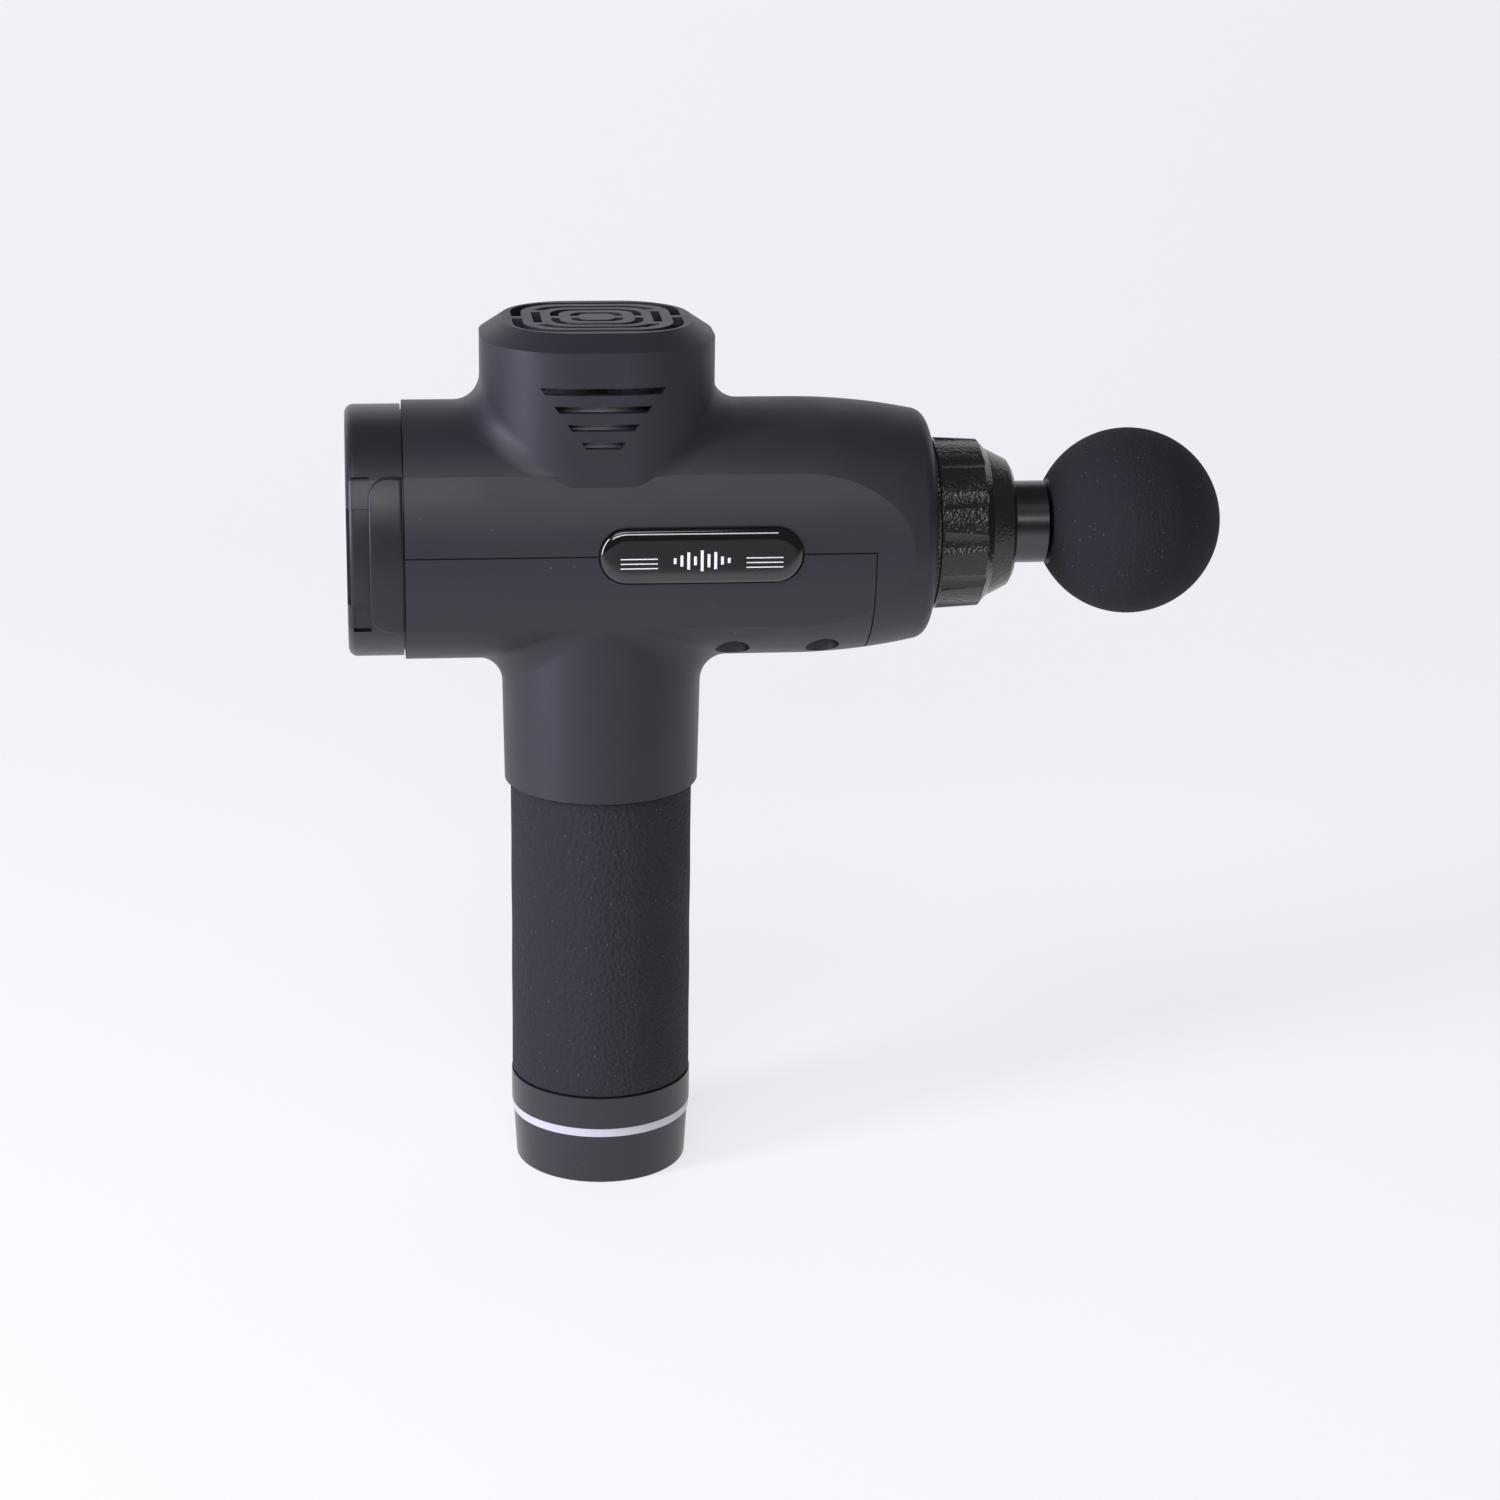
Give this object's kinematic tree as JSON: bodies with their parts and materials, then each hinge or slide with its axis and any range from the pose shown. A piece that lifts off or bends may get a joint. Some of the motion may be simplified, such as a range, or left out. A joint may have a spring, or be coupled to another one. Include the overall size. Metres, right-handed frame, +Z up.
{
  "type": "massage gun",
  "caption": "Handheld percussion massager: upright battery grip, horizontal barrel with a vented motor tower, fluted nose collar and a foam ball on a reciprocating shaft.",
  "frame": {"origin": "centre of the round base face that the gun stands on", "axes": "+Z up along the grip, +X along the barrel towards the foam ball, +Y to the gun's left side"},
  "size_m": [0.2345, 0.0656, 0.2365],
  "materials": {
    "satin_black_shell": "matte",
    "gloss_black_shell": "satin",
    "lens_black": "gloss",
    "button_black": "satin",
    "board_green": "satin",
    "steel": "satin",
    "switch_grey": "satin",
    "cast_aluminium": "matte",
    "anodised_black": "satin",
    "damper_rubber": "matte",
    "motor_silver": "satin",
    "stator_iron": "matte",
    "crank_steel": "satin",
    "bush_bronze": "satin",
    "fan_plastic": "satin",
    "collar_black": "satin",
    "stem_plastic": "satin",
    "foam_black": "matte",
    "cell_sleeve": "satin",
    "holder_plastic": "satin",
    "grip_black": "matte",
    "base_black": "satin",
    "light_white": "satin",
    "jack_plastic": "satin",
    "jack_metal": "satin"
  },
  "bodies": {
    "housing": {"upper_housing": "satin_black_shell", "lower_housing": "satin_black_shell", "rear_cap": "gloss_black_shell", "display_lens": "lens_black", "control_board": "board_green", "board_screws": "steel", "tact_switches": "switch_grey", "left_badge": "lens_black", "right_badge": "lens_black", "housing_screws": "steel", "drive_frame": "cast_aluminium", "frame_dampers": "damper_rubber", "motor_screws": "steel", "motor_base": "motor_silver", "motor_can": "motor_silver", "stator_core": "stator_iron", "lower_motor_bearing": "steel", "upper_motor_bearing": "steel", "guide_tube": "cast_aluminium", "rear_guide_bush": "bush_bronze", "front_guide_bush": "bush_bronze", "nose_damper": "damper_rubber", "nose_seal": "damper_rubber", "battery_cell_1": "cell_sleeve", "battery_cell_2": "cell_sleeve", "battery_cell_3": "cell_sleeve", "battery_cell_4": "cell_sleeve", "battery_cell_5": "cell_sleeve", "battery_cell_6": "cell_sleeve", "lower_cell_holder": "holder_plastic", "middle_cell_holder": "holder_plastic", "upper_cell_holder": "holder_plastic", "battery_board": "board_green", "handle_tube": "holder_plastic", "grip_sleeve": "grip_black", "base_ring": "base_black", "light_ring": "light_white", "light_board": "board_green", "base_cap": "base_black", "base_screws": "steel", "charge_jack": "jack_plastic", "jack_pin": "jack_metal", "switch_body": "button_black"},
    "rotor": {"motor_shaft": "steel", "rotor_magnet": "stator_iron", "crank_disc": "crank_steel", "cooling_fan": "fan_plastic"},
    "crank_rod": {"connecting_rod": "cast_aluminium", "crank_bearing": "steel", "crank_pin": "steel"},
    "ram": {"piston": "anodised_black", "wrist_pin": "steel"},
    "ball_head": {"ball_stem": "stem_plastic", "stem_oring": "damper_rubber", "foam_ball": "foam_black"},
    "collar": {"nose_collar": "collar_black"},
    "power_key": {"power_button": "button_black"},
    "plus_key": {"plus_button": "button_black"},
    "minus_key": {"minus_button": "button_black"},
    "switch_slider": {"switch_knob": "button_black"}
  },
  "joints": [
    {"name": "piston_slide", "type": "slide", "parent": "housing", "child": "ram", "axis": [1, 0, 0], "range_m": [0, 0.012]},
    {"name": "rotor_spin", "type": "hinge", "parent": "housing", "child": "rotor", "pos_m": [-0.0013, 0, 0.2], "axis": [0, 0, 1], "continuous": true},
    {"name": "rod_swing", "type": "hinge", "parent": "ram", "child": "crank_rod", "pos_m": [0.0287, 0, 0.18], "axis": [0, 0, 1], "range_deg": [-9.59, 9.59]},
    {"name": "head_pull", "type": "slide", "parent": "ram", "child": "ball_head", "axis": [1, 0, 0], "range_m": [0, 0.026]},
    {"name": "collar_turn", "type": "hinge", "parent": "housing", "child": "collar", "pos_m": [0.095, 0, 0.18], "axis": [1, 0, 0], "range_deg": [0, 90]},
    {"name": "power_press", "type": "slide", "parent": "housing", "child": "power_key", "axis": [1, 0, 0], "range_m": [0, 0.0008], "stiffness_N_per_m": 1500},
    {"name": "plus_press", "type": "slide", "parent": "housing", "child": "plus_key", "axis": [1, 0, 0], "range_m": [0, 0.0008], "stiffness_N_per_m": 1500},
    {"name": "minus_press", "type": "slide", "parent": "housing", "child": "minus_key", "axis": [1, 0, 0], "range_m": [0, 0.0008], "stiffness_N_per_m": 1500},
    {"name": "switch_slide", "type": "slide", "parent": "housing", "child": "switch_slider", "axis": [0, 1, 0], "range_m": [0, 0.004]}
  ],
  "couplings": [
    {"joint": "rotor_spin", "follows": "piston_slide", "rad_per_m": 261.8}
  ]
}
